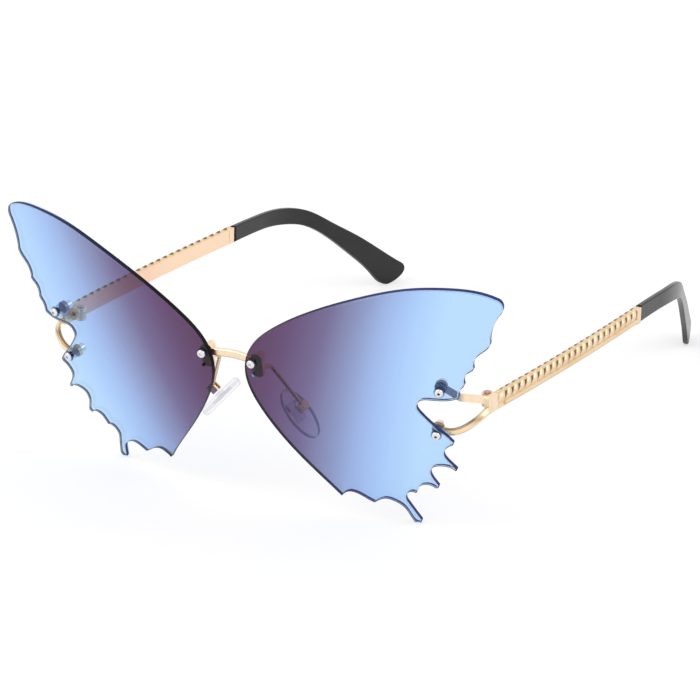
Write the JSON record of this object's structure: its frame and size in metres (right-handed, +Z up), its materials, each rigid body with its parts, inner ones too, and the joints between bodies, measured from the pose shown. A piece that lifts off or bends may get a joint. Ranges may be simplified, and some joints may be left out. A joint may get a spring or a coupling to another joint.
{
  "type": "sunglasses",
  "caption": "Rimless sunglasses with butterfly-wing gradient lenses, gold bridge and Y end pieces, twisted-rope temples on hinges and dark ear tips.",
  "frame": {"origin": "on the floor the glasses stand on, midway in width and depth", "axes": "-Y is the way the lenses face, +Y runs along the open temples to the ear tips, +Z is up, +X is the right-hand side seen from the front"},
  "size_m": [0.1336, 0.1614, 0.0652],
  "materials": {
    "tinted_lens": "clear gloss, purple fading to light blue",
    "gold": "polished light gold plate",
    "steel": "polished",
    "clear_plastic": "clear gloss",
    "clear_rubber": "clear soft silicone",
    "dark_tip": "gloss dark grey"
  },
  "bodies": {
    "front": {"bridge": "gold", "lens_left": "tinted_lens", "nose_pad_arm_left": "gold", "nose_pad_screw_left": "steel", "endpiece_left": "gold", "hinge_screw_left": "steel", "lens_screw_inner_left": "steel", "lens_washer_inner_left": "clear_plastic", "lens_sleeve_inner_left": "clear_plastic", "lens_nut_inner_left": "gold", "lens_screw_upper_left": "steel", "lens_washer_upper_left": "clear_plastic", "lens_sleeve_upper_left": "clear_plastic", "lens_nut_upper_left": "gold", "lens_screw_lower_left": "steel", "lens_washer_lower_left": "clear_plastic", "lens_sleeve_lower_left": "clear_plastic", "lens_nut_lower_left": "gold", "lens_right": "tinted_lens", "nose_pad_arm_right": "gold", "nose_pad_screw_right": "steel", "endpiece_right": "gold", "hinge_screw_right": "steel", "lens_screw_inner_right": "steel", "lens_washer_inner_right": "clear_plastic", "lens_sleeve_inner_right": "clear_plastic", "lens_nut_inner_right": "gold", "lens_screw_upper_right": "steel", "lens_washer_upper_right": "clear_plastic", "lens_sleeve_upper_right": "clear_plastic", "lens_nut_upper_right": "gold", "lens_screw_lower_right": "steel", "lens_washer_lower_right": "clear_plastic", "lens_sleeve_lower_right": "clear_plastic", "lens_nut_lower_right": "gold"},
    "temple_assembly_left": {"temple_left": "gold", "temple_tip_left": "dark_tip"},
    "temple_assembly_right": {"temple_right": "gold", "temple_tip_right": "dark_tip"},
    "pad_left": {"nose_pad_left": "clear_rubber", "nose_pad_lug_left": "steel"},
    "pad_right": {"nose_pad_right": "clear_rubber", "nose_pad_lug_right": "steel"}
  },
  "joints": [
    {"name": "temple_fold_right", "type": "hinge", "parent": "front", "child": "temple_assembly_right", "pos_m": [0.05585, -0.05554, 0.03245], "axis": [0, 0, 1], "range_deg": [0, 84]},
    {"name": "temple_fold_left", "type": "hinge", "parent": "front", "child": "temple_assembly_left", "pos_m": [-0.05585, -0.05554, 0.03245], "axis": [0, 0, -1], "range_deg": [0, 92]},
    {"name": "nose_pad_rock_right", "type": "hinge", "parent": "front", "child": "pad_right", "pos_m": [0.01185, -0.06513, 0.02488], "axis": [0.0911, 0.9923, 0.0835], "range_deg": [-8, 8]},
    {"name": "nose_pad_rock_left", "type": "hinge", "parent": "front", "child": "pad_left", "pos_m": [-0.01185, -0.06513, 0.02488], "axis": [-0.0911, 0.9923, 0.0835], "range_deg": [-8, 8]}
  ]
}
